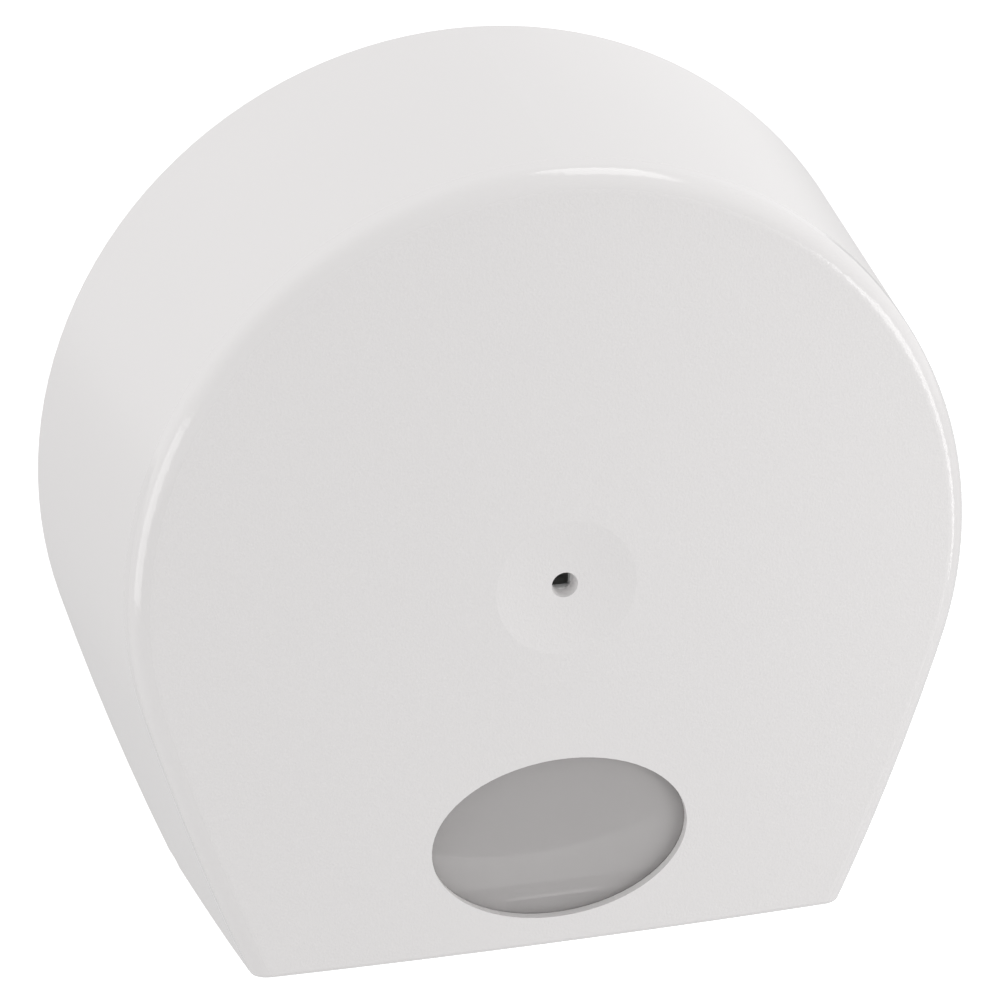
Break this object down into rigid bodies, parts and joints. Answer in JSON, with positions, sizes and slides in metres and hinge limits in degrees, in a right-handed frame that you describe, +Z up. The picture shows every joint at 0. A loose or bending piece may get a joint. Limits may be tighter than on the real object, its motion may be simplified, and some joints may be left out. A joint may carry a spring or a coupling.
{
  "type": "centre-feed toilet paper dispenser",
  "caption": "Wall-mounted D-shaped toilet paper dispenser with a bottom-hinged drafted cover, dished centre-feed nozzle, smoked oval level window, roll cradle and side cam lock.",
  "frame": {"origin": "on the wall face of the back plate, at the centre of the cover's round top", "axes": "+Z up, +Y into the wall, -Y out of the front, +X to the right of someone facing the front"},
  "size_m": [0.312, 0.1298, 0.312],
  "materials": {
    "cover_plastic": "finely grained moulded ABS",
    "plate_plastic": "satin moulded ABS",
    "smoked_lens": "smoked clear plastic",
    "nozzle_plastic": "slippery moulded acetal",
    "nylon": "natural nylon",
    "pin_steel": "ground steel",
    "zinc_steel": "zinc plated",
    "lock_metal": "nickel plated die-cast"
  },
  "bodies": {
    "wall_unit": {"back_plate": "plate_plastic", "roll_cradle": "plate_plastic", "cradle_screws": "zinc_steel", "lock_keeper": "zinc_steel", "keeper_screws": "zinc_steel", "catch_clip": "nylon", "catch_screws": "zinc_steel", "hinge_pin_left": "pin_steel", "hinge_pin_right": "pin_steel", "pin_clips": "pin_steel"},
    "cover": {"front_cover": "cover_plastic", "inspection_window": "smoked_lens", "window_clips": "pin_steel", "feed_nozzle": "nozzle_plastic", "nozzle_ring": "nozzle_plastic", "hinge_bushes": "nylon", "lock_body": "lock_metal", "lock_nut": "lock_metal"},
    "lock": {"lock_plug": "lock_metal", "lock_cam": "zinc_steel", "cam_washer": "zinc_steel", "cam_screw": "zinc_steel"}
  },
  "joints": [
    {"name": "cover_hinge", "type": "hinge", "parent": "wall_unit", "child": "cover", "pos_m": [0, -0.01, -0.15], "axis": [1, 0, 0], "range_deg": [0, 90]},
    {"name": "lock_turn", "type": "hinge", "parent": "cover", "child": "lock", "pos_m": [0.14, -0.024, 0], "axis": [1, 0, 0], "range_deg": [0, 90]}
  ]
}
